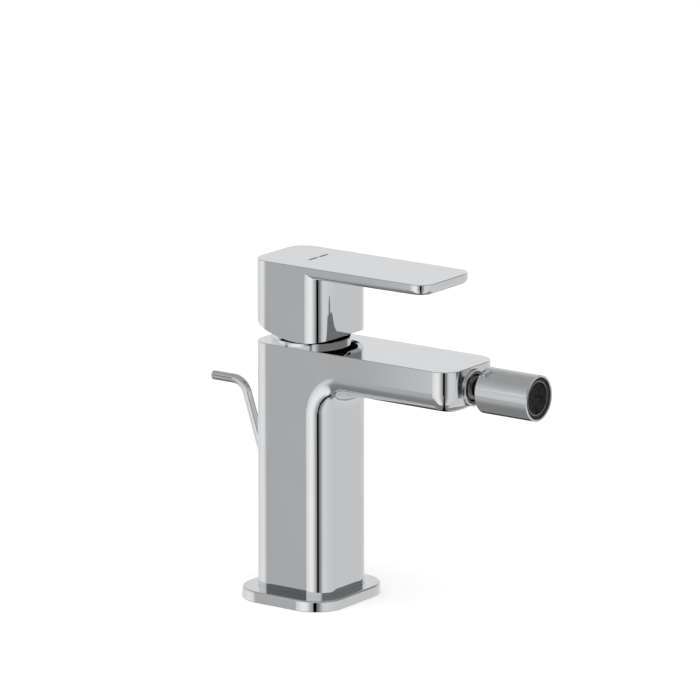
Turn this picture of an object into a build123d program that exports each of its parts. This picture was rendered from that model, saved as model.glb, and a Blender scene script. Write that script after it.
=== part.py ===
from build123d import *
import math
import os

# Single-lever bidet mixer with a swivelling spout end and a pop-up waste rod.
# Lengths are in millimetres and angles in degrees. +Z is up, the spout points
# along -Y, and the origin is the centre of the base flange's underside.

# The column and the spout, which are one hollow casting
column_width = 45.0
column_depth = 48.0
column_corner = 11.0
body_top = 140.0
spout_reach = 105.0
spout_height = 24.9
spout_crown_radius = 50.0
spout_armpit = 10.5
soft_edge = 11.0
casting_wall = 3.5

# The flange that the column stands in
flange_width = 64.0
flange_depth = 62.0
flange_corner = 18.0
flange_height = 6.0
flange_ledge = 2.0
flange_edge = 0.9

# The lever handle, whose cap covers the cartridge
handle_top = 184.6
cap_lowest = 143.3
cap_arc_radius = 58.0
cap_arc_forward = 8.0
cap_front_corner = 12.0
lever_reach = 89.4
lever_root_thickness = 6.4
lever_tip_thickness = 5.8
lever_corner = 9.0
lever_edge = 3.0

# The movement of the lever
stem_pivot_height = 144.0
lever_lift = 20.0

# The swivelling spout end
nozzle_axis_height = 128.6
ball_setback = 5.0
ball_radius = 8.6
housing_gap = 7.8
housing_length = 33.2
housing_radius = 12.25

# The pop-up rod, bent once, which slides along its slanted stretch
rod_radius = 2.5
rod_slant = 18.3
rod_entry_height = 50.0
rod_pull_height = 111.3
rod_pull_reach = 65.1
rod_bend = 9.0

# Clearances and overruns that the pieces share
running_gap = 0.05
loose_gap = 0.3
edge_break = 0.3
overrun = 2.0

os.makedirs("parts", exist_ok=True)

half_width = column_width / 2
column_rear = column_depth / 2
column_front = -column_depth / 2
spout_under = body_top - spout_height
crown_sag = spout_crown_radius - math.sqrt(spout_crown_radius**2 - half_width**2)
ball_centre_reach = spout_reach - ball_setback
housing_rear_reach = spout_reach + housing_gap
lift_lean = lever_lift / 2


def write(piece, label):
    piece.part.label = label
    export_step(piece.part, "parts/" + label + ".step")


# The cartridge is a stack: base, fixed disc, moving disc, carrier and rotor
# inside a stepped housing, which a threaded nut holds down in the column.
cartridge_seat = 104.0
cartridge_radius = 17.4
cartridge_bore_gap = 0.35
cartridge_base_height = 6.0
ceramic_thickness = 4.0
ceramic_gap = 0.1
moving_disc_radius = 11.1
carrier_thickness = 5.0
rotor_flange_height = 4.0
rotor_lift_gap = 0.4
housing_shell = 2.2
shoulder_height = 131.0
turret_radius = 12.2
turret_wall = 1.8
turret_top = 150.0
port_radius = 2.0
port_across = 6.0
port_forward = 2.8
outlet_radius = 3.2
outlet_back = 3.0
stem_arm = 22.0

disc_shift = stem_arm * math.sin(math.radians(lift_lean))
base_top = cartridge_seat + cartridge_base_height
fixed_disc_top = base_top + ceramic_thickness
moving_disc_foot = fixed_disc_top + ceramic_gap
carrier_foot = moving_disc_foot + ceramic_thickness
carrier_top = carrier_foot + carrier_thickness
rotor_foot = carrier_top + loose_gap
rotor_flange_top = rotor_foot + rotor_flange_height
shell_radius = cartridge_radius - housing_shell
turret_bore = turret_radius - turret_wall

# The nut's thread runs in a wider mouth at the top of the column
nut_radius = 18.9
nut_height = 7.0
nut_mouth_radius = nut_radius + 2 * running_gap
nut_top = shoulder_height + nut_height

# The ball's seat is a stepped bore in the spout's front face
socket_radius = 10.0
socket_depth = 16.0
waterway_radius = 5.5
socket_floor = spout_reach - socket_depth

# The waterway leaves a ring chamber round the cartridge's foot and climbs
# in a flat slot in front of the bore to the spout
chamber_radius = 19.5
chamber_height = 7.0
riser_width = 10.0
riser_front_wall = 1.5
riser_depth = 3.0

# The spout is cored out between the riser and the ball's socket
core_wall = 6.5
core_roof = 4.0
core_floor = 6.0
core_corner = 3.0
core_front_wall = 4.0

# The hollow foot of the column. Its roof is an inlet block with the threaded
# sockets. Each hose socket opens a little off centre into its inlet.
cavity_top = 95.0
inlet_block_height = 11.0
hose_thread_radius = 4.46
hose_across = 8.4
hose_forward = 1.0
inlet_radius = 2.6
stud_forward = 13.0
stud_thread_radius = 3.4
peg_radius = 2.0
peg_length = 3.0
peg_across = 11.5
peg_back = 8.0

# The rod runs through a slanted sleeve in the rear wall
guide_wall = 0.85
guide_reach_in = 1.5
slant_rise = 1 / math.tan(math.radians(rod_slant))
rod_plane = Plane(
    origin=(0, column_rear, rod_entry_height),
    x_dir=(1, 0, 0),
    z_dir=(0, math.sin(math.radians(rod_slant)), math.cos(math.radians(rod_slant))),
)
guide_bore = rod_radius + running_gap
guide_radius = guide_bore + guide_wall
guide_depth = casting_wall + guide_reach_in
rod_cut = guide_depth / math.sin(math.radians(rod_slant)) + (guide_radius + overrun) * slant_rise

# Body: an L-shaped casting. Its side outline is drawn out sideways and the
# spout's underside crowned. One soft edge runs up the column's front, through
# the armpit, along the spout and round its front, while the top stays crisp.
with BuildPart() as body:
    with BuildSketch(Plane.YZ):
        with BuildLine():
            Polyline(
                (column_rear, flange_ledge),
                (column_rear, body_top),
                (-spout_reach, body_top),
                (-spout_reach, spout_under),
                (column_front, spout_under),
                (column_front, flange_ledge),
                close=True,
            )
        make_face()
    extrude(amount=half_width, both=True)
    with BuildSketch(Plane.XZ.offset(-column_front)):
        with BuildLine():
            ThreePointArc(
                (-half_width, spout_under + crown_sag),
                (0, spout_under),
                (half_width, spout_under + crown_sag),
            )
            Polyline(
                (half_width, spout_under + crown_sag),
                (half_width, spout_under - overrun),
                (-half_width, spout_under - overrun),
                (-half_width, spout_under + crown_sag),
            )
        make_face()
    extrude(amount=spout_reach, mode=Mode.SUBTRACT)
    fillet(body.edges().sort_by_distance((0, column_front, spout_under))[0], spout_armpit)
    fillet(body.edges().filter_by(Axis.Z).group_by(Axis.Y)[-1], column_corner)
    front_lower = body.edges().sort_by_distance((0, -spout_reach, spout_under))[0]
    side_edges = body.edges().filter_by(lambda e: abs(e.center().X) > half_width - column_corner / 2)
    soft = side_edges.filter_by(lambda e: e.center().Y < column_front + overrun)
    fillet(soft.filter_by(lambda e: e.center().Z < body_top - overrun) + [front_lower], soft_edge)
    chamfer(body.faces().sort_by(Axis.Z)[-1].edges(), edge_break)
    with BuildSketch(Plane.XY.offset(flange_ledge)):
        RectangleRounded(
            column_width - 2 * casting_wall,
            column_depth - 2 * casting_wall,
            column_corner - casting_wall,
        )
    extrude(amount=cavity_top - flange_ledge, mode=Mode.SUBTRACT)
    with BuildSketch(Plane.XY.offset(cartridge_seat)):
        Circle(chamber_radius)
    extrude(amount=chamber_height, mode=Mode.SUBTRACT)
    with BuildSketch(Plane.XY.offset(cartridge_seat)):
        Circle(cartridge_radius + cartridge_bore_gap)
    extrude(amount=body_top, mode=Mode.SUBTRACT)
    with BuildSketch(Plane.XY.offset(shoulder_height)):
        Circle(nut_mouth_radius)
    extrude(amount=body_top, mode=Mode.SUBTRACT)
    with BuildSketch(Plane.XY.offset(cartridge_seat)):
        with Locations((0, column_front + riser_front_wall + riser_depth / 2)):
            Rectangle(riser_width, riser_depth)
    extrude(amount=nozzle_axis_height - cartridge_seat, mode=Mode.SUBTRACT)
    with BuildSketch(Plane.XZ.offset(spout_reach)):
        with Locations((0, nozzle_axis_height)):
            Circle(socket_radius)
    extrude(amount=-socket_depth, mode=Mode.SUBTRACT)
    with BuildSketch(Plane.XZ.offset(socket_floor)):
        with Locations((0, nozzle_axis_height)):
            Circle(waterway_radius)
    waterway_end = -column_front - riser_front_wall - riser_depth / 2
    extrude(amount=waterway_end - socket_floor, mode=Mode.SUBTRACT)
    with BuildSketch(Plane.XZ.offset(socket_floor - core_front_wall)):
        with Locations((0, (spout_under + core_floor + body_top - core_roof) / 2)):
            RectangleRounded(
                column_width - 2 * core_wall,
                spout_height - core_floor - core_roof,
                core_corner,
            )
    extrude(amount=column_rear + core_front_wall - socket_floor + core_front_wall, mode=Mode.SUBTRACT)
    with BuildSketch(Plane.XY.offset(cartridge_seat)):
        with Locations((-port_across, -port_forward), (port_across, -port_forward)):
            Circle(inlet_radius)
    extrude(amount=cavity_top - cartridge_seat, mode=Mode.SUBTRACT)
    with BuildSketch(Plane.XY.offset(cartridge_seat)):
        with Locations((-peg_across, peg_back), (peg_across, peg_back)):
            Circle(peg_radius + running_gap)
    extrude(amount=-peg_length - loose_gap, mode=Mode.SUBTRACT)
    with BuildSketch(rod_plane):
        Circle(guide_radius + running_gap)
    extrude(amount=rod_cut, both=True, mode=Mode.SUBTRACT)
write(body, "body")

# Inlet block: a brass block brazed into the column's foot, drilled and tapped
# for the two hoses and the stud.
block_gap = 0.05
with BuildPart() as inlet_block:
    with BuildSketch(Plane.XY.offset(cavity_top - inlet_block_height)):
        RectangleRounded(
            column_width - 2 * casting_wall - 2 * block_gap,
            column_depth - 2 * casting_wall - 2 * block_gap,
            column_corner - casting_wall - block_gap,
        )
        with Locations((-hose_across, -hose_forward), (hose_across, -hose_forward)):
            Circle(hose_thread_radius, mode=Mode.SUBTRACT)
        with Locations((0, -stud_forward)):
            Circle(stud_thread_radius, mode=Mode.SUBTRACT)
    extrude(amount=inlet_block_height)
write(inlet_block, "inlet_block")

# Base flange: a cast plate with a pocket that the column stands in, open in
# the middle for the hoses, the stud and the rod, and grooved for its gasket.
gasket_groove_inset = 2.5
gasket_width = 3.5
gasket_thickness = 1.5
pocket_gap = 0.1
flange_opening_width = column_width - 2 * casting_wall
flange_opening_depth = column_depth - 2 * casting_wall


def ring_outline(inset):
    return (
        flange_width - 2 * inset,
        flange_depth - 2 * inset,
        flange_corner - inset,
    )


with BuildPart() as base_flange:
    with BuildSketch(Plane.XY):
        RectangleRounded(*ring_outline(0))
        RectangleRounded(
            flange_opening_width,
            flange_opening_depth,
            column_corner - casting_wall,
            mode=Mode.SUBTRACT,
        )
    extrude(amount=flange_height)
    top_face = base_flange.faces().sort_by(Axis.Z)[-1]
    fillet(top_face.outer_wire().edges(), flange_edge)
    chamfer(base_flange.faces().sort_by(Axis.Z)[0].outer_wire().edges(), edge_break)
    with BuildSketch(Plane.XY.offset(flange_ledge)):
        RectangleRounded(
            column_width + 2 * pocket_gap,
            column_depth + 2 * pocket_gap,
            soft_edge + pocket_gap,
        )
    extrude(amount=flange_height, mode=Mode.SUBTRACT)
    with BuildSketch(Plane.XY):
        RectangleRounded(*ring_outline(gasket_groove_inset))
        RectangleRounded(*ring_outline(gasket_groove_inset + gasket_width), mode=Mode.SUBTRACT)
    extrude(amount=gasket_thickness, mode=Mode.SUBTRACT)
write(base_flange, "base_flange")

# Base gasket: a soft flat ring in the flange's groove, level with its face
with BuildPart() as base_gasket:
    with BuildSketch(Plane.XY.offset(running_gap)):
        RectangleRounded(*ring_outline(gasket_groove_inset + running_gap))
        RectangleRounded(
            *ring_outline(gasket_groove_inset + gasket_width - running_gap),
            mode=Mode.SUBTRACT,
        )
    extrude(amount=gasket_thickness - running_gap)
write(base_gasket, "base_gasket")

# Pop-up rod: a straight slanted stretch, one bend and a level pull end with
# a rounded tip. It ends inside the hollow foot, where its clamp takes over.
rod_foot_rise = 1.5
rod_tip_edge = 1.2
slant_run = math.tan(math.radians(rod_slant))
rod_foot_back = column_rear - (rod_entry_height - rod_foot_rise) * slant_run
rod_elbow_back = column_rear + (rod_pull_height - rod_entry_height) * slant_run
with BuildPart() as popup_rod:
    with BuildLine(Plane.YZ) as rod_line:
        FilletPolyline(
            (rod_foot_back, rod_foot_rise),
            (rod_elbow_back, rod_pull_height),
            (rod_pull_reach, rod_pull_height),
            radius=rod_bend,
        )
    with BuildSketch(Plane(rod_line.line @ 0, x_dir=(1, 0, 0), z_dir=rod_line.line % 0)):
        Circle(rod_radius)
    sweep(path=rod_line.line)
    fillet(popup_rod.faces().sort_by(Axis.Y)[-1].edges(), rod_tip_edge)
write(popup_rod, "popup_rod")

# Rod guide: a slanted plastic sleeve, cut off level with the rear wall
with BuildPart() as rod_guide:
    with BuildSketch(rod_plane):
        Circle(guide_radius)
        Circle(guide_bore, mode=Mode.SUBTRACT)
    extrude(amount=rod_cut, both=True)
    with BuildSketch(Plane.XZ.offset(-column_rear)):
        with Locations((0, rod_entry_height)):
            Rectangle(column_width, body_top)
    extrude(amount=guide_depth, mode=Mode.INTERSECT)
write(rod_guide, "rod_guide")

# Cartridge base: the plastic foot with two inlets, a side outlet at the rear
# and two pegs that stop it turning in the casting.
seal_seat_radius = 4.4
seal_seat_depth = 1.9
side_outlet_radius = 2.4
with BuildPart() as cartridge_base:
    with BuildSketch(Plane.XY.offset(cartridge_seat)):
        Circle(cartridge_radius)
    extrude(amount=cartridge_base_height)
    with BuildSketch(Plane.XY.offset(cartridge_seat)):
        with Locations((-peg_across, peg_back), (peg_across, peg_back)):
            Circle(peg_radius)
    extrude(amount=-peg_length)
    with BuildSketch(Plane.XY.offset(cartridge_seat)):
        with Locations((-port_across, -port_forward), (port_across, -port_forward)):
            Circle(port_radius)
    extrude(amount=cartridge_base_height, mode=Mode.SUBTRACT)
    with BuildSketch(Plane.XY.offset(cartridge_seat)):
        with Locations((-port_across, -port_forward), (port_across, -port_forward)):
            Circle(seal_seat_radius)
    extrude(amount=seal_seat_depth, mode=Mode.SUBTRACT)
    with BuildSketch(Plane.XY.offset(base_top)):
        with Locations((0, outlet_back)):
            Circle(outlet_radius)
    extrude(amount=-cartridge_base_height / 2, mode=Mode.SUBTRACT)
    with BuildSketch(Plane.XZ.offset(-outlet_back)):
        with Locations((0, cartridge_seat + cartridge_base_height / 2)):
            Circle(side_outlet_radius)
    extrude(amount=-cartridge_radius, mode=Mode.SUBTRACT)
write(cartridge_base, "cartridge_base")

# Inlet seals: one rubber ring round each inlet, between foot and casting
seal_wire = 0.9
with BuildPart() as cartridge_seals:
    with Locations(
        (-port_across, -port_forward, cartridge_seat + seal_wire),
        (port_across, -port_forward, cartridge_seat + seal_wire),
    ):
        Torus(seal_seat_radius - seal_wire - running_gap, seal_wire)
write(cartridge_seals, "cartridge_seals")

# Fixed disc: lapped ceramic with the two inlets and the outlet
fixed_disc_radius = shell_radius - loose_gap
with BuildPart() as fixed_disc:
    with BuildSketch(Plane.XY.offset(base_top)):
        Circle(fixed_disc_radius)
        with Locations((-port_across, -port_forward), (port_across, -port_forward)):
            Circle(port_radius, mode=Mode.SUBTRACT)
        with Locations((0, outlet_back)):
            Circle(outlet_radius, mode=Mode.SUBTRACT)
    extrude(amount=ceramic_thickness)
write(fixed_disc, "fixed_disc")

# Moving disc: it slides over the fixed disc, and the pocket in its underside
# joins the inlets to the outlet as the lever is lifted.
pocket_radius = 6.6
pocket_depth = 2.0
with BuildPart() as moving_disc:
    with BuildSketch(Plane.XY.offset(moving_disc_foot)):
        with Locations((0, disc_shift)):
            Circle(moving_disc_radius)
    extrude(amount=ceramic_thickness)
    with BuildSketch(Plane.XY.offset(moving_disc_foot)):
        with Locations((0, disc_shift)):
            Circle(pocket_radius)
    extrude(amount=pocket_depth, mode=Mode.SUBTRACT)
write(moving_disc, "moving_disc")

# Disc carrier: the plastic plate on the moving disc, with the slot that the
# stem's ball end drives.
stem_ball_radius = 3.0
carrier_slot_gap = 0.15
with BuildPart() as disc_carrier:
    with BuildSketch(Plane.XY.offset(carrier_foot)):
        with Locations((0, disc_shift)):
            Circle(moving_disc_radius)
            Rectangle(
                2 * (stem_ball_radius + loose_gap),
                2 * (stem_ball_radius + carrier_slot_gap),
                mode=Mode.SUBTRACT,
            )
    extrude(amount=carrier_thickness)
write(disc_carrier, "disc_carrier")

# Rotor: it turns in the housing's turret and carries the stem's pin. Its slot
# is pinched at the pin and flares below it, where the stem swings widest.
stem_side = 8.0
stem_arm_radius = 2.5
rotor_top_rise = 2.0
pin_radius = 1.5
lean_sine = math.sin(math.radians(lift_lean))
lean_cosine = math.cos(math.radians(lift_lean))
lean_tangent = lean_sine / lean_cosine
rotor_top = turret_top + rotor_top_rise
stem_root = 5.0


def slot_half_length(half_side, distance):
    return half_side / lean_cosine + distance * lean_tangent + loose_gap


with BuildPart() as cartridge_rotor:
    with BuildSketch(Plane.XY.offset(rotor_foot)):
        Circle(shell_radius - loose_gap)
    extrude(amount=rotor_flange_height)
    with BuildSketch(Plane.XY.offset(rotor_flange_top)):
        Circle(turret_bore - running_gap)
    extrude(amount=rotor_top - rotor_flange_top)
    slot_top = slot_half_length(stem_side / 2, rotor_top - stem_pivot_height)
    slot_waist = slot_half_length(stem_side / 2, stem_root)
    slot_foot = slot_half_length(stem_ball_radius, stem_pivot_height - rotor_foot)
    with BuildSketch(Plane.YZ):
        with BuildLine():
            Polyline(
                (slot_top, rotor_top),
                (slot_waist, stem_pivot_height),
                (slot_waist, stem_pivot_height - stem_root - loose_gap),
                (slot_foot, rotor_foot),
                (-slot_foot, rotor_foot),
                (-slot_waist, stem_pivot_height - stem_root - loose_gap),
                (-slot_waist, stem_pivot_height),
                (-slot_top, rotor_top),
                close=True,
            )
        make_face()
    extrude(amount=stem_side / 2 + carrier_slot_gap, both=True, mode=Mode.SUBTRACT)
    with BuildSketch(Plane.YZ.offset(-turret_bore)):
        with Locations((0, stem_pivot_height)):
            Circle(pin_radius + running_gap / 2)
    extrude(amount=2 * turret_bore, mode=Mode.SUBTRACT)
write(cartridge_rotor, "cartridge_rotor")

# Stem pin: the cross pin that the stem rocks on
pin_half_length = turret_bore - 2 * loose_gap
with BuildPart() as stem_pin:
    with BuildSketch(Plane.YZ.offset(-pin_half_length)):
        with Locations((0, stem_pivot_height)):
            Circle(pin_radius)
    extrude(amount=2 * pin_half_length)
write(stem_pin, "stem_pin")

# Stem: square where the handle grips it, round below its pin, with a ball end.
# It leans forward when the water is off and back when it is fully on.
stem_top = 31.0
stem_plane = Plane(
    origin=(0, 0, stem_pivot_height),
    x_dir=(1, 0, 0),
    z_dir=(0, -lean_sine, lean_cosine),
)
with BuildPart() as cartridge_stem:
    with BuildSketch(stem_plane.offset(-stem_root)):
        Rectangle(stem_side, stem_side)
    extrude(amount=stem_root + stem_top)
    chamfer(cartridge_stem.faces().sort_by(Axis.Z)[-1].edges(), edge_break * 2)
    with BuildSketch(stem_plane.offset(-stem_arm)):
        Circle(stem_arm_radius)
    extrude(amount=stem_arm - stem_root)
    with Locations(stem_plane.offset(-stem_arm).location):
        Sphere(stem_ball_radius)
    with BuildSketch(Plane.YZ.offset(-stem_side)):
        with Locations((0, stem_pivot_height)):
            Circle(pin_radius + running_gap)
    extrude(amount=2 * stem_side, mode=Mode.SUBTRACT)
write(cartridge_stem, "cartridge_stem")

# Cartridge housing: the shell round the discs and the turret round the rotor
with BuildPart() as cartridge_housing:
    with BuildSketch(Plane.YZ):
        with BuildLine():
            Polyline(
                (shell_radius, base_top),
                (cartridge_radius, base_top),
                (cartridge_radius, shoulder_height),
                (turret_radius, shoulder_height),
                (turret_radius, turret_top),
                (turret_bore, turret_top),
                (turret_bore, rotor_flange_top + rotor_lift_gap),
                (shell_radius, rotor_flange_top + rotor_lift_gap),
                close=True,
            )
        make_face()
    revolve(axis=Axis.Z)
write(cartridge_housing, "cartridge_housing")

# Cartridge nut: a threaded ring with wrench notches on its top face
nut_bore = turret_radius + 4 * running_gap
nut_notch_width = 4.0
nut_notch_depth = 2.0
nut_notch_count = 4
with BuildPart() as cartridge_nut:
    with BuildSketch(Plane.XY.offset(shoulder_height)):
        Circle(nut_radius)
        Circle(nut_bore, mode=Mode.SUBTRACT)
    extrude(amount=nut_height)
    with BuildSketch(Plane.XY.offset(nut_top)):
        with PolarLocations(nut_radius, nut_notch_count):
            Rectangle(2 * nut_notch_width, nut_notch_width)
    extrude(amount=-nut_notch_depth, mode=Mode.SUBTRACT)
write(cartridge_nut, "cartridge_nut")

# Collar: the chromed ring that stands on the column under the cap. A low cone
# inside the cap's reach hides the nut.
collar_radius = 21.2
collar_rim_height = 2.3
collar_rim_width = 2.2
collar_cone_top = 7.0
collar_cone_radius = 14.6
collar_wall = 1.4
collar_bore = turret_radius + 8 * running_gap
collar_skirt_radius = nut_mouth_radius - 4 * running_gap
collar_rim_top = body_top + collar_rim_height
skirt_foot = nut_top + loose_gap
with BuildPart() as cartridge_collar:
    with BuildSketch(Plane.YZ):
        with BuildLine():
            Polyline(
                (collar_bore, body_top + collar_cone_top),
                (collar_cone_radius, body_top + collar_cone_top),
                (collar_radius - collar_rim_width, collar_rim_top),
                (collar_radius - edge_break, collar_rim_top),
                (collar_radius, collar_rim_top - edge_break),
                (collar_radius, body_top),
                (collar_skirt_radius, body_top),
                (collar_skirt_radius, skirt_foot),
                (collar_skirt_radius - collar_wall, skirt_foot),
                (collar_skirt_radius - collar_wall, collar_rim_top - collar_wall / 2),
                (collar_cone_radius - collar_wall / 2, body_top + collar_cone_top - collar_wall),
                (collar_bore, body_top + collar_cone_top - collar_wall),
                close=True,
            )
        make_face()
    revolve(axis=Axis.Z)
write(cartridge_collar, "cartridge_collar")

# Handle: a cap with a rounded rectangular plan, cut underneath to an arc so
# that its rear clears the column as it tips, and a flat lever of the same
# width. A boss inside grips the stem, and a grub screw enters from the rear.
cap_wall = 3.2
cap_roof = 6.0
boss_half_width = 7.5
boss_front = 13.5
boss_foot = 158.0
screw_height = 165.0
screw_radius = 2.5
screw_length = 8.0
cover_radius = 3.5
cover_length = 5.0
socket_gap = 0.05
cap_arc_height = cap_lowest + cap_arc_radius
cap_roof_under = handle_top - cap_roof
lever_start = column_front + cap_front_corner


def cap_arc_rise(back):
    across_arc = back + cap_arc_forward
    return cap_arc_height - math.sqrt(cap_arc_radius**2 - across_arc**2)


with BuildPart() as lever:
    with BuildSketch(Plane.YZ):
        with BuildLine():
            Polyline(
                (lever_start, handle_top),
                (-lever_reach, handle_top),
                (-lever_reach, handle_top - lever_tip_thickness),
                (lever_start, handle_top - lever_root_thickness),
                close=True,
            )
        make_face()
    extrude(amount=half_width, both=True)
    fillet(lever.edges().filter_by(Axis.Z).group_by(Axis.Y)[0], lever_corner)
    under_face = lever.faces().sort_by(Axis.Z)[0]
    under_edges = under_face.edges().filter_by(lambda e: e.center().Y < column_front)
    fillet(under_edges.filter_by(lambda e: abs(e.center().X) > lever_corner), lever_edge)

with BuildPart() as handle:
    with BuildSketch(Plane.XY.offset(cap_lowest)) as cap_plan:
        Rectangle(column_width, column_depth)
        fillet(cap_plan.vertices().group_by(Axis.Y)[0], cap_front_corner)
        fillet(cap_plan.vertices().group_by(Axis.Y)[-1], column_corner)
    extrude(amount=handle_top - cap_lowest)
    with BuildSketch(Plane.XY.offset(cap_lowest)) as hollow_plan:
        Rectangle(column_width - 2 * cap_wall, column_depth - 2 * cap_wall)
        fillet(hollow_plan.vertices().group_by(Axis.Y)[0], cap_front_corner - cap_wall)
        fillet(hollow_plan.vertices().group_by(Axis.Y)[-1], column_corner - cap_wall)
    extrude(amount=cap_roof_under - cap_lowest, mode=Mode.SUBTRACT)
    with BuildSketch(Plane.XY.offset(boss_foot)):
        with Locations((0, (column_rear - cap_wall / 2 - boss_front) / 2)):
            Rectangle(2 * boss_half_width, column_rear - cap_wall / 2 + boss_front)
    extrude(amount=cap_roof_under - boss_foot)
    arc_front = column_front - overrun
    arc_rear = column_rear + overrun
    with BuildSketch(Plane.YZ):
        with BuildLine():
            ThreePointArc(
                (arc_front, cap_arc_rise(arc_front)),
                (-cap_arc_forward, cap_lowest),
                (arc_rear, cap_arc_rise(arc_rear)),
            )
            Polyline(
                (arc_rear, cap_arc_rise(arc_rear)),
                (arc_rear, handle_top),
                (arc_front, handle_top),
                (arc_front, cap_arc_rise(arc_front)),
            )
        make_face()
    extrude(amount=column_width, both=True, mode=Mode.INTERSECT)
    add(lever.part)
    chamfer(handle.faces().sort_by(Axis.Z)[-1].edges(), edge_break)
    with BuildSketch(stem_plane):
        Rectangle(stem_side + 2 * socket_gap, stem_side + 2 * socket_gap)
    extrude(amount=stem_top + loose_gap, mode=Mode.SUBTRACT)
    with BuildSketch(Plane.XZ):
        with Locations((0, screw_height)):
            Circle(screw_radius + running_gap)
    extrude(amount=-column_depth, mode=Mode.SUBTRACT)
    with BuildSketch(Plane.XZ.offset(-column_rear)):
        with Locations((0, screw_height)):
            Circle(cover_radius + running_gap)
    extrude(amount=cover_length + loose_gap, mode=Mode.SUBTRACT)
write(handle, "handle")

# Handle screw: the grub screw that bears on the stem's rear face
stem_rear = (stem_side / 2) / lean_cosine - (screw_height - stem_pivot_height) * lean_tangent
screw_tip = stem_rear + screw_radius * lean_tangent + running_gap
hex_key_radius = 1.45
hex_key_depth = 3.0
with BuildPart() as handle_screw:
    with BuildSketch(Plane.XZ.offset(-screw_tip)):
        with Locations((0, screw_height)):
            Circle(screw_radius)
    extrude(amount=-screw_length)
    with BuildSketch(Plane.XZ.offset(-screw_tip - screw_length)):
        with Locations((0, screw_height)):
            RegularPolygon(hex_key_radius, 6)
    extrude(amount=hex_key_depth, mode=Mode.SUBTRACT)
write(handle_screw, "handle_screw")

# Screw cover: the small plug in the rear of the cap
with BuildPart() as screw_cover:
    with BuildSketch(Plane.XZ.offset(-column_rear)):
        with Locations((0, screw_height)):
            Circle(cover_radius)
    extrude(amount=cover_length)
    chamfer(screw_cover.faces().sort_by(Axis.Y)[-1].edges(), edge_break)
write(screw_cover, "screw_cover")

# The swivelling end is drawn as outlines round its own axis, which runs
# forward out of the spout. An outline point is (radius, reach).
nozzle_plane = Plane(origin=(0, 0, nozzle_axis_height), x_dir=(0, 0, 1), z_dir=(1, 0, 0))
nozzle_axis = Axis((0, 0, nozzle_axis_height), (0, 1, 0))
cup_radius = ball_radius + 3 * running_gap


def out_of_ball(radius, sphere_radius):
    return math.sqrt(sphere_radius**2 - radius**2)


# Ball seal: the rubber ring pressed on the socket's floor
ball_seal_wire = 1.0
ball_seal_radius = 8.0
with BuildPart() as ball_seal:
    with BuildSketch(nozzle_plane):
        with Locations((ball_seal_radius, socket_floor + ball_seal_wire)):
            Circle(ball_seal_wire)
    revolve(axis=nozzle_axis)
write(ball_seal, "ball_seal")

# Ball seat: a low-friction ring behind the ball, which can turn with it
seat_radius = socket_radius - loose_gap
seat_bore = 5.0
seat_back = socket_floor + 2 * ball_seal_wire + loose_gap
seat_front_share = 0.37
seat_front = ball_centre_reach - cup_radius * seat_front_share
seat_front_radius = out_of_ball(ball_centre_reach - seat_front, cup_radius)
seat_cup_back = ball_centre_reach - out_of_ball(seat_bore, cup_radius)
seat_middle_radius = (seat_bore + seat_front_radius) / 2
seat_middle = ball_centre_reach - out_of_ball(seat_middle_radius, cup_radius)
with BuildPart() as ball_seat:
    with BuildSketch(nozzle_plane):
        with BuildLine():
            Polyline(
                (seat_front_radius, seat_front),
                (seat_radius, seat_front),
                (seat_radius, seat_back),
                (seat_bore, seat_back),
                (seat_bore, seat_cup_back),
            )
            ThreePointArc(
                (seat_bore, seat_cup_back),
                (seat_middle_radius, seat_middle),
                (seat_front_radius, seat_front),
            )
        make_face()
    revolve(axis=nozzle_axis)
write(ball_seat, "ball_seat")

# Retaining ring: the chromed ring screwed into the spout's face. Its lip
# closes round the front of the ball.
ring_radius = socket_radius - 2 * running_gap
ring_proud = 1.2
ring_lip_radius = 7.3
ring_back = ball_centre_reach + loose_gap
ring_front = spout_reach + ring_proud
ring_back_radius = out_of_ball(loose_gap, cup_radius)
ring_lip_start = ball_centre_reach + out_of_ball(ring_lip_radius, cup_radius)
ring_middle_radius = (ring_back_radius + ring_lip_radius) / 2
ring_middle = ball_centre_reach + out_of_ball(ring_middle_radius, cup_radius)
with BuildPart() as ball_retaining_ring:
    with BuildSketch(nozzle_plane):
        with BuildLine():
            ThreePointArc(
                (ring_back_radius, ring_back),
                (ring_middle_radius, ring_middle),
                (ring_lip_radius, ring_lip_start),
            )
            Polyline(
                (ring_lip_radius, ring_lip_start),
                (ring_lip_radius, ring_front - edge_break),
                (ring_lip_radius + edge_break, ring_front),
                (ring_radius - edge_break, ring_front),
                (ring_radius, ring_front - edge_break),
                (ring_radius, ring_back),
                (ring_back_radius, ring_back),
            )
        make_face()
    revolve(axis=nozzle_axis)
write(ball_retaining_ring, "ball_retaining_ring")

# Swivel ball: a hollow ball with a neck and a threaded tail, which screws
# into the rear wall of the aerator housing.
neck_radius = 5.0
ball_bore = 3.5
housing_rear_wall = 4.5
tail_radius = 4.6
tail_end = housing_rear_reach + housing_rear_wall
ball_back_radius = ball_bore + edge_break
ball_back = ball_centre_reach - out_of_ball(ball_back_radius, ball_radius)
neck_start = ball_centre_reach + out_of_ball(neck_radius, ball_radius)
with BuildPart() as swivel_ball:
    with BuildSketch(nozzle_plane):
        with BuildLine():
            ThreePointArc(
                (ball_back_radius, ball_back),
                (ball_radius, ball_centre_reach),
                (neck_radius, neck_start),
            )
            Polyline(
                (neck_radius, neck_start),
                (neck_radius, housing_rear_reach),
                (tail_radius, housing_rear_reach),
                (tail_radius, tail_end),
                (ball_bore, tail_end),
                (ball_bore, ball_back),
                (ball_back_radius, ball_back),
            )
        make_face()
    revolve(axis=nozzle_axis)
write(swivel_ball, "swivel_ball")

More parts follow.
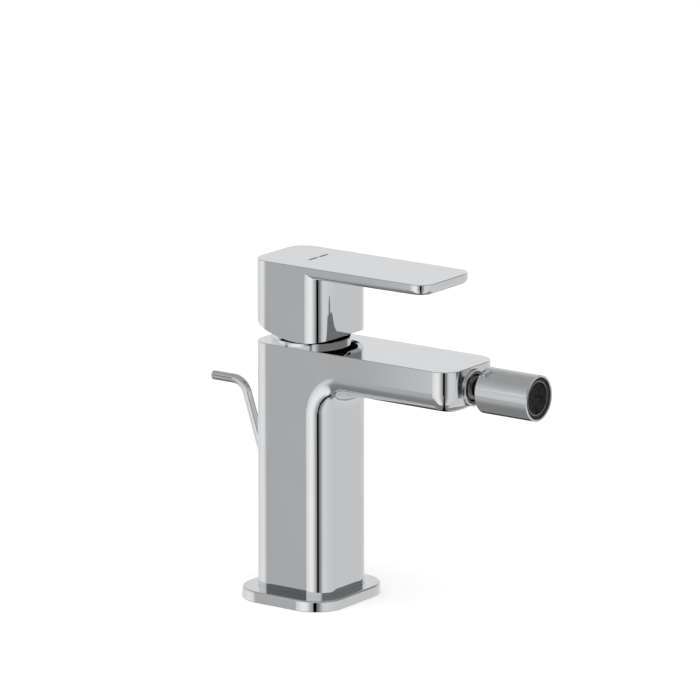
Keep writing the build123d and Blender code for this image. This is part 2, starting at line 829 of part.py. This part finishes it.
# Aerator housing: a chromed tube with a rear wall and a thin front rim
rim_wall = 1.15
inner_wall = 2.6
insert_length = 12.5
rim_recess = 1.0
rear_chamfer = 1.0
aerator_seal_thickness = 1.5
housing_front = housing_rear_reach + housing_length
insert_front = housing_front - rim_recess
insert_back = insert_front - insert_length
step_reach = insert_back - aerator_seal_thickness
mouth_radius = housing_radius - rim_wall
with BuildPart() as aerator_housing:
    with BuildSketch(nozzle_plane):
        with BuildLine():
            Polyline(
                (tail_radius + running_gap, housing_rear_reach),
                (housing_radius - rear_chamfer, housing_rear_reach),
                (housing_radius, housing_rear_reach + rear_chamfer),
                (housing_radius, housing_front - edge_break),
                (housing_radius - edge_break, housing_front),
                (mouth_radius + edge_break, housing_front),
                (mouth_radius, housing_front - edge_break),
                (mouth_radius, step_reach),
                (housing_radius - inner_wall, step_reach),
                (housing_radius - inner_wall, tail_end),
                (tail_radius + running_gap, tail_end),
                close=True,
            )
        make_face()
    revolve(axis=nozzle_axis)
write(aerator_housing, "aerator_housing")

# Aerator seal: the flat washer between the housing's step and the insert
insert_radius = mouth_radius - 2 * running_gap
with BuildPart() as aerator_seal:
    with BuildSketch(Plane.XZ.offset(step_reach)):
        with Locations((0, nozzle_axis_height)):
            Circle(insert_radius)
            Circle(housing_radius - inner_wall, mode=Mode.SUBTRACT)
    extrude(amount=aerator_seal_thickness)
write(aerator_seal, "aerator_seal")

# Aerator insert: the black plastic cage, notched round its rim for a key
insert_bore = 9.3
notch_count = 10
notch_depth = 2.2
notch_width_share = 0.5
screen_recess = 2.6
screen_thickness = 1.2
screen_ledge = 0.6
notch_width = notch_width_share * 2 * math.pi * insert_radius / notch_count
screen_back = insert_front - screen_recess - screen_thickness
with BuildPart() as aerator_insert:
    with BuildSketch(Plane.XZ.offset(insert_back)):
        with Locations((0, nozzle_axis_height)):
            Circle(insert_radius)
            Circle(insert_bore - screen_ledge, mode=Mode.SUBTRACT)
    extrude(amount=insert_length)
    with BuildSketch(Plane.XZ.offset(insert_front)):
        with Locations((0, nozzle_axis_height)):
            Circle(insert_bore)
    extrude(amount=screen_back - insert_front, mode=Mode.SUBTRACT)
    with BuildSketch(Plane.XZ.offset(insert_front)):
        with Locations((0, nozzle_axis_height)):
            with PolarLocations(insert_radius + (insert_radius - insert_bore) / 4, notch_count):
                Rectangle(insert_radius - insert_bore, notch_width)
    extrude(amount=-notch_depth, mode=Mode.SUBTRACT)
write(aerator_insert, "aerator_insert")

# Aerator screen: the drilled plate that breaks up the stream
screen_radius = insert_bore - running_gap
screen_hole_radius = 1.1
screen_ring_holes = 6
screen_ring_count = 2
screen_ring_step = screen_radius / (screen_ring_count + 1)
with BuildPart() as aerator_screen:
    with BuildSketch(Plane.XZ.offset(screen_back)):
        with Locations((0, nozzle_axis_height)):
            Circle(screen_radius)
            Circle(screen_hole_radius, mode=Mode.SUBTRACT)
            for ring in range(1, screen_ring_count + 1):
                with PolarLocations(ring * screen_ring_step, ring * screen_ring_holes):
                    Circle(screen_hole_radius, mode=Mode.SUBTRACT)
    extrude(amount=screen_thickness)
write(aerator_screen, "aerator_screen")
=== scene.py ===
import math
from types import SimpleNamespace
import bmesh
import bpy
from mathutils import Matrix, Vector


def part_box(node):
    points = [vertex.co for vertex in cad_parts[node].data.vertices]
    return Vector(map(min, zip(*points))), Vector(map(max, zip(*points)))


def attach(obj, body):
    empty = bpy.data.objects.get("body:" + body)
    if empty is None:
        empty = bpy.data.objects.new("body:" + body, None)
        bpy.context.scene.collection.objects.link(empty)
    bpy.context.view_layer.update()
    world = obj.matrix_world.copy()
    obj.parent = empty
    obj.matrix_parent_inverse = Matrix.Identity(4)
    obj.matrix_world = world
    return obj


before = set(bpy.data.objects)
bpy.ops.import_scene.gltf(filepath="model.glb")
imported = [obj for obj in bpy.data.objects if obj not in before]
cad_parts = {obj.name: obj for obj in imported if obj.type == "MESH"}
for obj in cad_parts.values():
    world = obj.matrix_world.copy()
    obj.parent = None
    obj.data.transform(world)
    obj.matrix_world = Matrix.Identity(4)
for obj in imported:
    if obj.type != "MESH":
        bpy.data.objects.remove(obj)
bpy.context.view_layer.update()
scene = bpy.context.scene
scene.view_settings.view_transform = "Standard"

# The camera stands well back with a long lens, a little above the mixer and
# off to its left, so that the side and the front of the column both show.
camera_azimuth = math.radians(-53.983)
camera_elevation = math.radians(13.549)
camera_distance = 3.6338
camera_lens = 352.92
camera_sensor = 36
camera_near = 0.5
camera_far = 50
looked_at = Vector((0, 0, 0.13637))
aim_right = 0.02059
aim_down = 0.00239
back = Vector((
    math.sin(camera_azimuth) * math.cos(camera_elevation),
    -math.cos(camera_azimuth) * math.cos(camera_elevation),
    math.sin(camera_elevation),
))
right = Vector((math.cos(camera_azimuth), math.sin(camera_azimuth), 0))
up = back.cross(right)
camera = bpy.data.objects.new("camera", bpy.data.cameras.new("camera"))
scene.collection.objects.link(camera)
camera.data.sensor_width = camera_sensor
camera.data.lens = camera_lens
camera.data.clip_start = camera_near
camera.data.clip_end = camera_far
camera.location = looked_at + back * camera_distance
aim = looked_at + right * aim_right - up * aim_down
camera.rotation_mode = "QUATERNION"
camera.rotation_quaternion = (aim - camera.location).to_track_quat("-Z", "Y")
scene.camera = camera

# The studio is a pale room with a grey screen, a shade overhead and a dark
# desk. Behind the camera a narrow black flag draws the dark line down each
# polished corner, and a stripe goes on from its foot between pale sheets.


class Link:
    """A socket that sums, products and comparisons can be written on."""

    def __init__(self, tree, socket):
        self.tree = tree
        self.socket = socket

    def maths(self, operation, *others):
        made = self.tree.nodes.new("ShaderNodeMath")
        made.operation = operation
        for place, value in enumerate((self,) + others):
            if isinstance(value, Link):
                self.tree.links.new(value.socket, made.inputs[place])
            else:
                made.inputs[place].default_value = value
        return Link(self.tree, made.outputs[0])

    def __add__(self, other):
        return self.maths("ADD", other)

    def __sub__(self, other):
        return self.maths("SUBTRACT", other)

    def __rsub__(self, other):
        return self.maths("MULTIPLY_ADD", -1.0, other)

    def __mul__(self, other):
        return self.maths("MULTIPLY", other)

    def __truediv__(self, other):
        return self.maths("DIVIDE", other)

    def __abs__(self):
        return self.maths("ABSOLUTE")

    __radd__ = __add__
    __rmul__ = __mul__

    def between(self, start, end):
        """0 at start and 1 at end, with a smooth rise."""
        ends = {"Value": self, "From Min": start, "From Max": end}
        smooth = {"interpolation_type": "SMOOTHSTEP"}
        return node(self.tree, "ShaderNodeMapRange", smooth, ends)["Result"]

    def within(self, edges):
        """1 between the middle two of four edges and 0 past the outer two."""
        return self.between(edges[0], edges[1]) * (1 - self.between(edges[2], edges[3]))


def node(tree, kind, settings=None, values=None):
    """Adds a node: its settings come first, then the numbers or links of its sockets."""
    made = tree.nodes.new(kind)
    for name, value in (settings or {}).items():
        if name == "stops":
            ramp = made.color_ramp
            while len(ramp.elements) > 1:
                ramp.elements.remove(ramp.elements[-1])
            for position, grey in value:
                first = position == value[0][0]
                stop = ramp.elements[0] if first else ramp.elements.new(position)
                stop.position = position
                stop.color = (grey, grey, grey, 1)
        else:
            setattr(made, name, value)
    for name, value in (values or {}).items():
        if isinstance(value, Link):
            tree.links.new(value.socket, made.inputs[name])
        else:
            made.inputs[name].default_value = value
    return {s.name: Link(tree, s) for s in made.outputs if s.enabled}


# Tones are greys at bearings or slopes. Bearings run counter-clockwise from +X
# and slopes go up from the horizon, both in degrees. An edge is where a soft
# change starts or ends.
wall_tones = (
    (0, 0.74), (36, 0.85), (76, 0.78), (111, 0.92), (130, 0.84), (139, 0.62), (144.5, 0.66),
    (150, 0.78), (162, 0.94), (176, 1.0), (184, 0.96), (193, 0.70), (203, 0.40), (220, 0.22),
    (227, 0.29), (239, 0.71), (250, 0.77), (275, 0.71), (320, 0.66), (340, 0.70), (360, 0.74),
)
floor_tones = ((0, 0.22), (38, 0.25), (53, 0.31), (66, 0.50), (90, 0.60))
ceiling_tones = (
    (0, 0.64), (10, 0.66), (12.5, 0.80), (14.5, 0.82), (17, 0.68), (24, 0.58), (34, 0.47),
    (52, 0.38), (90, 0.42),
)
wall_to_ceiling = (-6.0, 8.0)
wall_to_ground = (-24.0, -44.0)
screen_edges = (128.0, 142.0, 144.35, 145.2)
screen_top = (16.0, 19.0)
screen_on_wall = 0.26
screen_on_ceiling = 0.80
shade_edges = (222.0, 242.0, 338.0, 356.0)
shade_top = (28.0, 45.0)
shade_darkness = 0.73
desk_edges = (30.0, 36.0, 56.0, 62.0)
desk_slopes = (-14.0, -20.0, -42.0, -50.0)
desk_darkness = 0.85
lower_flag_edges = (205.5, 209.5, 217.0, 221.0)
lower_flag_slopes = (-19.5, -17.0, -8.0, -5.0)
upper_flag_edges = (210.5, 212.0, 217.0, 221.0)
upper_flag_slopes = (-9.0, -6.0, 12.0, 16.0)
stripe_bearing = math.radians(215.0)
stripe_side = (0.046, 0.076)
stripe_top = (-16.5, -19.0)
sheet_edges = (146.0, 158.0, 368.0, 372.0)
sheet_slopes = (-80.0, -68.0)
full_turn = 360.0
quarter_turn = 90.0

studio = bpy.data.worlds.new("studio")
scene.world = studio
studio.use_nodes = True
sky = studio.node_tree
sky.nodes.clear()
direction = node(sky, "ShaderNodeTexCoord")["Generated"]
axes = node(sky, "ShaderNodeSeparateXYZ", values={"Vector": direction})
turn_share = (axes["Y"].maths("ARCTAN2", axes["X"]) / math.tau + 1.0).maths("FRACT")
bearing = turn_share * full_turn
slope = axes["Z"].maths("ARCSINE") * math.degrees(1)


def tone_ramp(share, whole, tones):
    """The tone at a share of the whole turn or slope that the tones are placed on."""
    stops = [(place / whole, grey) for place, grey in tones]
    return node(sky, "ShaderNodeValToRGB", {"stops": stops}, {"Fac": share})["Color"]


def background(colour):
    values = {"Color": colour, "Strength": 1.0}
    return node(sky, "ShaderNodeBackground", values=values)["Background"]


def either(factor, first, second):
    """The first surface where the factor is 0 and the second where it is 1."""
    return node(factor.tree, "ShaderNodeMixShader", values={0: factor, 1: first, 2: second})["Shader"]


screen = bearing.within(screen_edges) * (1 - slope.between(*screen_top))
shade = bearing.within(shade_edges) * (1 - slope.between(*shade_top))
desk = bearing.within(desk_edges) * slope.within(desk_slopes)
lower_flag = bearing.within(lower_flag_edges) * slope.within(lower_flag_slopes)
upper_flag = bearing.within(upper_flag_edges) * slope.within(upper_flag_slopes)
aside = abs(axes["X"] * math.sin(stripe_bearing) - axes["Y"] * math.cos(stripe_bearing))
stripe = (1 - aside.between(*stripe_side)) * slope.between(*stripe_top)
black = lower_flag.maths("MAXIMUM", upper_flag).maths("MAXIMUM", stripe)
sheet = bearing.within(sheet_edges) * slope.between(*sheet_slopes)
is_high = slope.between(*wall_to_ceiling)
is_low = slope.between(*wall_to_ground) * (1 - sheet)
walls = tone_ramp(turn_share, full_turn, wall_tones) * (1 - screen * screen_on_wall)
ground = tone_ramp((slope + quarter_turn) / quarter_turn, quarter_turn, floor_tones)
ceiling = tone_ramp(slope / quarter_turn, quarter_turn, ceiling_tones)
overhead = ceiling * (1 - shade * shade_darkness) * (1 - screen * screen_on_ceiling)
room = walls * (1 - is_high) * (1 - is_low) + overhead * is_high + ground * is_low
room = room * (1 - black) * (1 - desk * desk_darkness)

# Matt surfaces get one even light, the chrome mirrors the room, and the
# background that the camera sees is white.
even_grey = (0.80, 0.80, 0.80, 1)
pure_white = (1, 1, 1, 1)
sky_rays = node(sky, "ShaderNodeLightPath")
lit = either(sky_rays["Is Glossy Ray"], background(even_grey), background(room))
seen = sky_rays["Is Camera Ray"].maths("MAXIMUM", sky_rays["Is Transmission Ray"])
node(sky, "ShaderNodeOutputWorld", values={"Surface": either(seen, lit, background(pure_white))})

# The floor is a plain white table. It stays white wherever no shadow falls,
# and the chrome shows the room instead of it.


def shaped(name, bm):
    """Makes a finished bmesh an object of the scene."""
    made = bpy.data.objects.new(name, bpy.data.meshes.new(name))
    bm.to_mesh(made.data)
    bm.free()
    scene.collection.objects.link(made)
    return made


table_half = 6.0
table_glow = 0.34
bm = bmesh.new()
bmesh.ops.create_grid(bm, x_segments=1, y_segments=1, size=table_half)
floor = shaped("floor", bm)
white_table = bpy.data.materials.new("white_table")
white_table.use_nodes = True
tree = white_table.node_tree
tree.nodes.clear()
table_rays = node(tree, "ShaderNodeLightPath")
matt = node(tree, "ShaderNodeBsdfDiffuse", values={"Color": even_grey})["BSDF"]
lift = {"Strength": table_rays["Is Camera Ray"] * table_glow}
glow = node(tree, "ShaderNodeEmission", values=lift)["Emission"]
bright = node(tree, "ShaderNodeAddShader", values={0: matt, 1: glow})["Shader"]
clear = node(tree, "ShaderNodeBsdfTransparent")["BSDF"]
table_surface = either(table_rays["Is Glossy Ray"], bright, clear)
node(tree, "ShaderNodeOutputMaterial", values={"Surface": table_surface})
floor.data.materials.append(white_table)

# One broad soft lamp hangs overhead, on the camera's side. It only lights
# matt surfaces and lays the soft shadow, and doesn't show in the chrome.
lamp_width = 1.2
lamp_watts = 9.0
lamp_place = Vector((-0.5, -0.5, 1.6))
lamp_target = Vector((0, 0, 0.05))
lamp = bpy.data.objects.new("soft_lamp", bpy.data.lights.new("soft_lamp", "AREA"))
scene.collection.objects.link(lamp)
lamp.data.shape = "DISK"
lamp.data.size = lamp_width
lamp.data.energy = lamp_watts
lamp.location = lamp_place
lamp.rotation_mode = "QUATERNION"
lamp.rotation_quaternion = (lamp_target - lamp_place).to_track_quat("-Z", "Y")
lamp.visible_glossy = False
lamp.visible_camera = False

# The body is one brass casting, ground and polished by hand and then chromed.
# The plating is even, but the polishing leaves the faintest waves in the metal
# and a thin film of handling that dulls it in patches.


def noise(place, grain, detail, roughness):
    """Noise with grains of so many metres."""
    values = {"Vector": place, "Scale": 1 / grain, "Detail": detail, "Roughness": roughness}
    return node(place.tree, "ShaderNodeTexNoise", values=values)["Fac"]


def covered(mask, under, over):
    """The colour under a mask of 0, and the one over it where the mask is 1."""
    values = {0: mask, 6: under, 7: over}
    return node(mask.tree, "ShaderNodeMix", {"data_type": "RGBA"}, values)["Result"]


def finish(name, dark, light, gloss, metallic, patch, relief, ripple):
    """A material in two close tones that drift in patches, with its gloss between two
    roughness values and ripples in relief, all in metres. It gives the material's parts,
    so that a section can add marks to it."""
    patch_edges = (0.30, 0.70)
    patch_weight = 0.7
    speckles_in_patch = 9
    made = bpy.data.materials.new(name)
    made.use_nodes = True
    tree = made.node_tree
    tree.nodes.clear()
    place = node(tree, "ShaderNodeTexCoord")["Object"]
    film = noise(place, grain=patch, detail=4.0, roughness=0.6).between(*patch_edges)
    speckle = noise(place, grain=patch / speckles_in_patch, detail=2.0, roughness=0.5)
    tone = covered(film, (*dark, 1), (*light, 1))
    dullness = film * patch_weight + speckle * (1 - patch_weight)
    rough = gloss[0] + (gloss[1] - gloss[0]) * dullness
    height = noise(place, grain=ripple, detail=1.0, roughness=0.4)
    waves = {"Strength": 1.0, "Distance": relief, "Height": height}
    normal = node(tree, "ShaderNodeBump", values=waves)["Normal"]
    values = {"Base Color": tone, "Roughness": rough, "Metallic": metallic, "Normal": normal}
    surface = node(tree, "ShaderNodeBsdfPrincipled", values=values)["BSDF"]
    node(tree, "ShaderNodeOutputMaterial", values={"Surface": surface})
    shader = surface.socket.node
    return SimpleNamespace(material=made, place=place, shader=shader, tone=tone, rough=rough)


def feed(made, links):
    """Lets sockets of a finish's shader follow other links."""
    for name, link in links.items():
        link.tree.links.new(link.socket, made.shader.inputs[name])


def dress(made, *names):
    for name in names:
        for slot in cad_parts[name].material_slots:
            slot.material = made.material


chrome_light = (0.790, 0.803, 0.817)
chrome_dark = (0.770, 0.783, 0.797)
polished_chrome = finish(
    "polished_chrome", chrome_dark, chrome_light, gloss=(0.020, 0.045),
    metallic=1.0, patch=0.030, relief=0.0000008, ripple=0.016,
)
dress(polished_chrome, "body")

# The base flange is a thin cast plate, chromed like the body. It stands on a
# flat black gasket that is pressed into the groove in its underside.
dress(polished_chrome, "base_flange")
base_rubber = finish(
    "base_rubber", dark=(0.016, 0.016, 0.017), light=(0.026, 0.026, 0.027), gloss=(0.62, 0.80),
    metallic=0.0, patch=0.006, relief=0.00004, ripple=0.0012,
)
dress(base_rubber, "base_gasket")

# The inlet block is sawn from brass bar and drilled and tapped from below, for
# the two hoses and the fixing stud.
cut_brass = finish(
    "cut_brass", dark=(0.62, 0.44, 0.20), light=(0.74, 0.55, 0.28), gloss=(0.20, 0.34),
    metallic=1.0, patch=0.006, relief=0.00001, ripple=0.0006,
)
dress(cut_brass, "inlet_block")

# The pop-up rod is drawn steel wire, bent and chromed. It slides in a moulded
# black sleeve that is let into the rear wall.
rod_chrome = finish(
    "rod_chrome", chrome_dark, chrome_light, gloss=(0.018, 0.045),
    metallic=1.0, patch=0.008, relief=0.0000020, ripple=0.006,
)
dress(rod_chrome, "popup_rod")
black_nylon = finish(
    "black_nylon", dark=(0.014, 0.014, 0.015), light=(0.024, 0.024, 0.026), gloss=(0.34, 0.48),
    metallic=0.0, patch=0.004, relief=0.00002, ripple=0.0008,
)
dress(black_nylon, "rod_guide")

# The cartridge's shell, foot, carrier and rotor are moulded in off-white
# engineering plastic, with black rubber rings round its two inlets.
white_moulding = finish(
    "white_moulding", dark=(0.66, 0.65, 0.62), light=(0.74, 0.73, 0.70), gloss=(0.36, 0.50),
    metallic=0.0, patch=0.010, relief=0.00002, ripple=0.0010,
)
dress(white_moulding, "cartridge_base", "cartridge_housing", "disc_carrier", "cartridge_rotor")
seal_rubber = finish(
    "seal_rubber", dark=(0.014, 0.014, 0.015), light=(0.024, 0.024, 0.025), gloss=(0.45, 0.62),
    metallic=0.0, patch=0.003, relief=0.00001, ripple=0.0006,
)
dress(seal_rubber, "cartridge_seals")

# The two discs are fired alumina, lapped until they shine, which seal by
# sliding on each other with no rubber between them.
lapped_ceramic = finish(
    "lapped_ceramic", dark=(0.70, 0.67, 0.63), light=(0.78, 0.76, 0.72), gloss=(0.12, 0.20),
    metallic=0.0, patch=0.003, relief=0.000004, ripple=0.0005,
)
dress(lapped_ceramic, "fixed_disc", "moving_disc")

# The nut that holds the cartridge down and the stem that works it are turned
# and milled from brass, and the pin and the grub screw are steel.
dress(cut_brass, "cartridge_nut", "cartridge_stem")
plain_steel = finish(
    "plain_steel", dark=(0.40, 0.40, 0.41), light=(0.50, 0.50, 0.51), gloss=(0.18, 0.30),
    metallic=1.0, patch=0.005, relief=0.000006, ripple=0.0005,
)
dress(plain_steel, "stem_pin", "handle_screw")

# The collar is a thin chromed ring with a cone, turned from brass and pushed
# down over the nut, so that nothing but chrome shows under the cap.
turned_chrome = finish(
    "turned_chrome", chrome_dark, chrome_light, gloss=(0.030, 0.060),
    metallic=1.0, patch=0.012, relief=0.0000020, ripple=0.008,
)
dress(turned_chrome, "cartridge_collar")

# The handle is cast in zinc, polished and chromed, with two short dark marks
# for hot and cold let into its top, and a grey plug in the rear of its cap.
# The inside of the cap is rough, and painted near-black as the shade under the cap.


def spot_on(made):
    """The X, Y and Z of a place on the surface."""
    return node(made.place.tree, "ShaderNodeSeparateXYZ", values={"Vector": made.place})


def diagonal(first, second):
    """The distance that two distances at right angles make."""
    return (first * first + second * second).maths("SQRT")


def past(distance, limit):
    """How far a distance goes past a limit, on either side."""
    return (abs(distance) - limit).maths("MAXIMUM", 0.0)


handle_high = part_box("handle")[1]
lever_chrome = finish(
    "lever_chrome", chrome_dark, chrome_light, gloss=(0.020, 0.045),
    metallic=1.0, patch=0.026, relief=0.0000008, ripple=0.016,
)
spot = spot_on(lever_chrome)

mark_centres = (-0.0030, 0.0062)
mark_back = -0.0037
mark_half_length = 0.0031
mark_half_width = 0.0008
mark_soft_outside = 0.00008
mark_soft_inside = 0.00004
mark_depth_end = 0.0004
mark_depth_start = 0.0002
mark_ink = (0.018, 0.019, 0.021, 1)
mark_dullness = 0.40
along = [past(spot["X"] - centre, mark_half_length) for centre in mark_centres]
from_mark = diagonal(along[0].maths("MINIMUM", along[1]), spot["Y"] - mark_back)
on_top = spot["Z"].between(handle_high.z - mark_depth_end, handle_high.z - mark_depth_start)
inked = from_mark.between(mark_half_width + mark_soft_outside, mark_half_width - mark_soft_inside)
mark = inked * on_top

cap_wall = 0.0032
inside_corner = 0.0088
inside_soft_start = 0.0002
inside_soft_end = 0.0004
roof_soft_start = 0.0020
roof_soft_end = 0.0018
# The near-black colour inside the cap is painted shade, for the shade under the handle.
painted_cap_shade = (0.030, 0.031, 0.033, 1)
cap_inside_dullness = 0.45
core_half_width = handle_high.x - cap_wall - inside_corner
core_half_depth = handle_high.y - cap_wall - inside_corner
from_core = diagonal(past(spot["X"], core_half_width), past(spot["Y"], core_half_depth))
within_walls = 1 - from_core.between(inside_corner + inside_soft_start, inside_corner + inside_soft_end)
below_roof = 1 - spot["Z"].between(handle_high.z - roof_soft_start, handle_high.z - roof_soft_end)
inside = within_walls * below_roof

feed(lever_chrome, {
    "Base Color": covered(inside, covered(mark, lever_chrome.tone, mark_ink), painted_cap_shade),
    "Metallic": 1 - mark,
    "Roughness": lever_chrome.rough + mark * mark_dullness + inside * cap_inside_dullness,
})
dress(lever_chrome, "handle")
grey_moulding = finish(
    "grey_moulding", dark=(0.30, 0.31, 0.32), light=(0.36, 0.37, 0.38), gloss=(0.32, 0.44),
    metallic=0.0, patch=0.003, relief=0.00001, ripple=0.0006,
)
dress(grey_moulding, "screw_cover")

# The swivelling end is turned from brass and chromed. The tube that carries
# the aerator is bright outside, and its bore only took a thin, dull plating.
housing_low, housing_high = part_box("aerator_housing")
nozzle_height = (housing_low.z + housing_high.z) / 2


def from_nozzle_axis(made):
    spot = spot_on(made)
    return diagonal(spot["X"], spot["Z"] - nozzle_height)


housing_wall = 0.00115
bore_soft_start = 0.0001
bore_soft_end = 0.0003
bore_dullness = 0.34
bore_radius = housing_high.x - housing_wall
housing_chrome = finish(
    "housing_chrome", chrome_dark, chrome_light, gloss=(0.030, 0.060),
    metallic=1.0, patch=0.012, relief=0.0000020, ripple=0.008,
)
from_axis = from_nozzle_axis(housing_chrome)
outside = from_axis.between(bore_radius + bore_soft_start, bore_radius + bore_soft_end)
feed(housing_chrome, {"Roughness": housing_chrome.rough + (1 - outside) * bore_dullness})
dress(housing_chrome, "aerator_housing")

# The ring that holds the ball is chromed at its rim alone. Inside the rim the ring, like the ball, is
# painted dark as the shade in the recess of the joint. The ball turns in a white low-friction cup,
# against a black rubber ring.
rim_soft_start = 0.0010
rim_soft_end = 0.0008
ring_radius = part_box("ball_retaining_ring")[1].x
# Inside its rim, the ring's dark tone is painted shade, for the recess of the joint.
ring_with_painted_shade = finish(
    "ring_with_painted_shade", dark=(0.10, 0.10, 0.105), light=(0.17, 0.17, 0.175), gloss=(0.16, 0.26),
    metallic=1.0, patch=0.004, relief=0.000004, ripple=0.0012,
)
from_axis = from_nozzle_axis(ring_with_painted_shade)
rim = from_axis.between(ring_radius - rim_soft_start, ring_radius - rim_soft_end)
feed(ring_with_painted_shade, {"Base Color": covered(rim, ring_with_painted_shade.tone, (*chrome_light, 1))})
dress(ring_with_painted_shade, "ball_retaining_ring")
# The ball's dark tone is painted shade, for the recess it turns in.
ball_painted_shade = finish(
    "ball_painted_shade", dark=(0.13, 0.13, 0.135), light=(0.24, 0.24, 0.245), gloss=(0.10, 0.18),
    metallic=1.0, patch=0.003, relief=0.000006, ripple=0.0010,
)
dress(ball_painted_shade, "swivel_ball")
dress(white_moulding, "ball_seat")
dress(seal_rubber, "ball_seal")

# The aerator is a moulded black cage, notched for its key, on a rubber washer.
# Its drilled plate is moulded from the same nylon, and its front lands are painted a shade lighter, as
# a highlight.
land_soft_start = 0.00002
land_soft_end = 0.00008
painted_highlight_nylon = (0.016, 0.016, 0.017, 1)
nylon_shine = 0.20
cage_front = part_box("aerator_insert")[0].y
cage_nylon = finish(
    "cage_nylon", dark=(0.008, 0.008, 0.009), light=(0.015, 0.015, 0.016), gloss=(0.30, 0.42),
    metallic=0.0, patch=0.004, relief=0.00001, ripple=0.0008,
)
reach = spot_on(cage_nylon)["Y"]
# The lighter tone on the cage's front lands is a painted highlight.
painted_highlight_lands = 1 - reach.between(cage_front + land_soft_start, cage_front + land_soft_end)
feed(cage_nylon, {"Base Color": covered(painted_highlight_lands, cage_nylon.tone, painted_highlight_nylon)})
cage_nylon.shader.inputs["Specular IOR Level"].default_value = nylon_shine
dress(cage_nylon, "aerator_insert", "aerator_screen")
dress(seal_rubber, "aerator_seal")

# A thin steel ring drops into the cage's bore and stands on the drilled plate.
# Its lip turns in at the front, over the edge of the gauze.
cage_bore = 0.0093
gauze_ring_clearance = 0.00005
gauze_ring_wall = 0.0003
gauze_ring_height = 0.0025
gauze_lip = 0.0006
gauze_lip_depth = 0.0004
gauze_ring_steps = 96
gauze_ring_crease = math.radians(30)
gauze_ring_radius = cage_bore - gauze_ring_clearance
plate_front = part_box("aerator_screen")[0].y
gauze_ring_front = plate_front - gauze_ring_height
profile = (
    (gauze_ring_radius, plate_front),
    (gauze_ring_radius, gauze_ring_front),
    (gauze_ring_radius - gauze_lip, gauze_ring_front),
    (gauze_ring_radius - gauze_lip, gauze_ring_front + gauze_lip_depth),
    (gauze_ring_radius - gauze_ring_wall, gauze_ring_front + gauze_lip_depth),
    (gauze_ring_radius - gauze_ring_wall, plate_front),
)
bm = bmesh.new()
corners = [bm.verts.new((radius, front, nozzle_height)) for radius, front in profile]
edges = [bm.edges.new((corners[n - 1], corners[n])) for n in range(len(corners))]
bmesh.ops.spin(
    bm, geom=corners + edges, cent=(0, 0, nozzle_height), axis=(0, 1, 0), dvec=(0, 0, 0),
    angle=math.tau, steps=gauze_ring_steps, use_merge=True, use_duplicate=False,
)
bmesh.ops.recalc_face_normals(bm, faces=bm.faces)
gauze_ring = shaped("gauze_ring", bm)
for face in gauze_ring.data.polygons:
    face.use_smooth = True
gauze_ring.data.set_sharp_from_angle(angle=gauze_ring_crease)
pressed_steel = finish(
    "pressed_steel", dark=(0.20, 0.20, 0.205), light=(0.30, 0.30, 0.305), gloss=(0.24, 0.36),
    metallic=1.0, patch=0.003, relief=0.000004, ripple=0.0005,
)
gauze_ring.data.materials.append(pressed_steel.material)
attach(gauze_ring, "nozzle")

# The gauze is plain-woven steel wire about 0.14 mm thick, half a millimetre apart, held under the
# ring's lip. Its wire is coloured dark grey and only glints.
gauze_cells = 36
gauze_half = 0.0090
gauze_edge = 0.00905
gauze_wire = 0.00014
gauze_clearance = 0.0001
gauze_reach = gauze_ring_front + gauze_lip_depth + gauze_clearance
bm = bmesh.new()
bmesh.ops.create_grid(bm, x_segments=gauze_cells, y_segments=gauze_cells, size=gauze_half)
outer = [vert for vert in bm.verts if vert.co.length > gauze_edge]
bmesh.ops.delete(bm, geom=outer, context="VERTS")
bmesh.ops.wireframe(
    bm, faces=bm.faces, thickness=gauze_wire, offset=0.0, use_replace=True, use_boundary=True,
    use_even_offset=True, use_crease=False, crease_weight=0.0, use_relative_offset=False,
)
upright = Matrix.Rotation(math.radians(90), 4, "X")
placed = Matrix.Translation((0, gauze_reach, nozzle_height)) @ upright
bmesh.ops.transform(bm, matrix=placed, verts=bm.verts)
bmesh.ops.recalc_face_normals(bm, faces=bm.faces)
gauze = shaped("aerator_gauze", bm)
dark_wire = finish(
    "dark_wire", dark=(0.045, 0.045, 0.048), light=(0.13, 0.13, 0.135), gloss=(0.22, 0.40),
    metallic=1.0, patch=0.0016, relief=0.000004, ripple=0.0004,
)
gauze.data.materials.append(dark_wire.material)
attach(gauze, "nozzle")
